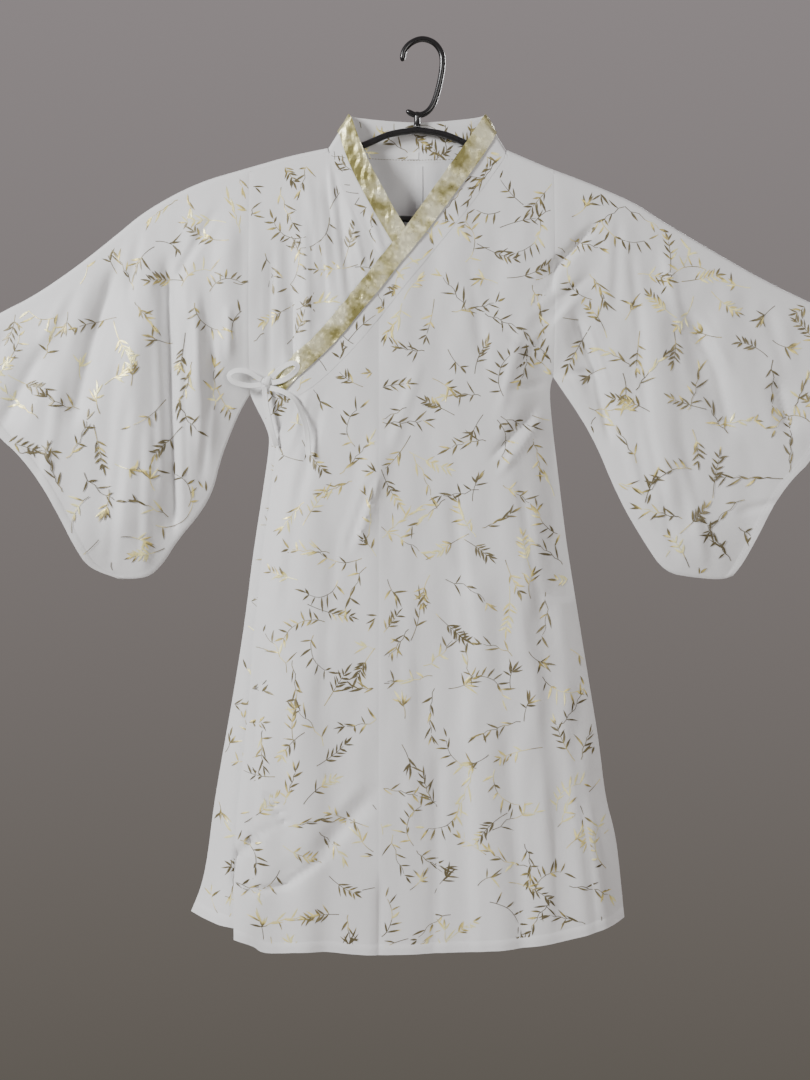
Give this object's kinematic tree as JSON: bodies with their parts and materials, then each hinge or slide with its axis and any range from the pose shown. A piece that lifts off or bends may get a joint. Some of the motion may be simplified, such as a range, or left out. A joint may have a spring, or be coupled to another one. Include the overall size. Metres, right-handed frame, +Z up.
{
  "type": "kimono robe on a hanger",
  "caption": "short white kimono robe with gold leaf sprigs, wide sleeves, wrapped front, satin neckband and side tie, hung on a black hanger",
  "frame": {"origin": "the inside top of the hanger's hook, where a rod or peg holds it", "axes": "+Z up, the front of the robe faces -Y, +X to the viewer's right, across the spread sleeves"},
  "size_m": [1.0929, 0.0872, 1.0473],
  "materials": {
    "printed_cloth": "thin white polyester cloth with a soft sheen and gold foil leaf sprigs",
    "satin_trim": "champagne gold satin",
    "tie_cloth": "narrow white woven tie",
    "label_cloth": "blank white woven label",
    "black_plastic": "glossy black moulded plastic"
  },
  "bodies": {
    "root": {"back_left": "printed_cloth", "back_right": "printed_cloth", "front_over": "printed_cloth", "overlap_over": "printed_cloth", "front_under": "printed_cloth", "overlap_under": "printed_cloth", "sleeve_left": "printed_cloth", "sleeve_right": "printed_cloth", "neckband": "printed_cloth", "neckband_trim": "satin_trim", "tie_knot": "tie_cloth", "tie_loop_left": "tie_cloth", "tie_loop_right": "tie_cloth", "tie_tail_inner": "tie_cloth", "tie_tail_outer": "tie_cloth", "neck_label": "label_cloth", "hanger_frame": "black_plastic", "hanger_hook": "black_plastic"}
  },
  "joints": []
}
